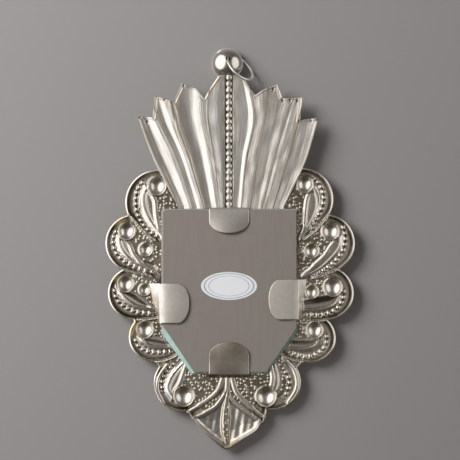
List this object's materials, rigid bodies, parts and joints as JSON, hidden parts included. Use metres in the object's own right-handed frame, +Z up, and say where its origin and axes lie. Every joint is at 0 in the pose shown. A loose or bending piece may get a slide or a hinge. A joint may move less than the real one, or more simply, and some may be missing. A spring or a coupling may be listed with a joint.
{
  "type": "wall mirror",
  "caption": "Small wall mirror in embossed silver-plated sheet with scroll lobes, fluted flame plume, hollow ball and a wire hanging ring.",
  "frame": {"origin": "on the centre line, on the outer face of the top clip, which rests against the wall", "axes": "+Z up, +Y out of the back towards the wall, the mirror face looks along -Y"},
  "size_m": [0.1785, 0.0293, 0.288],
  "materials": {
    "silver_plate": "satin",
    "ball_metal": "gloss",
    "ring_metal": "gloss",
    "clip_metal": "satin",
    "mirror_glass": "polished",
    "card": "matte",
    "label_paper": "matte"
  },
  "bodies": {
    "mirror_frame": {"border_sheet": "silver_plate", "flame_plume": "silver_plate", "ball_back_shell": "ball_metal", "ball_front_shell": "ball_metal", "clip_top": "clip_metal", "clip_bottom": "clip_metal", "clip_left": "clip_metal", "clip_right": "clip_metal", "mirror_glass": "mirror_glass", "backing_card": "card", "back_label": "label_paper"},
    "ring": {"hanging_ring": "ring_metal"}
  },
  "joints": [
    {"name": "ring_swing", "type": "hinge", "parent": "mirror_frame", "child": "ring", "pos_m": [-0.00411, -0.0086, 0.11522], "axis": [0.6161, 0.7877, -0.0031], "range_deg": [0, 148]}
  ]
}
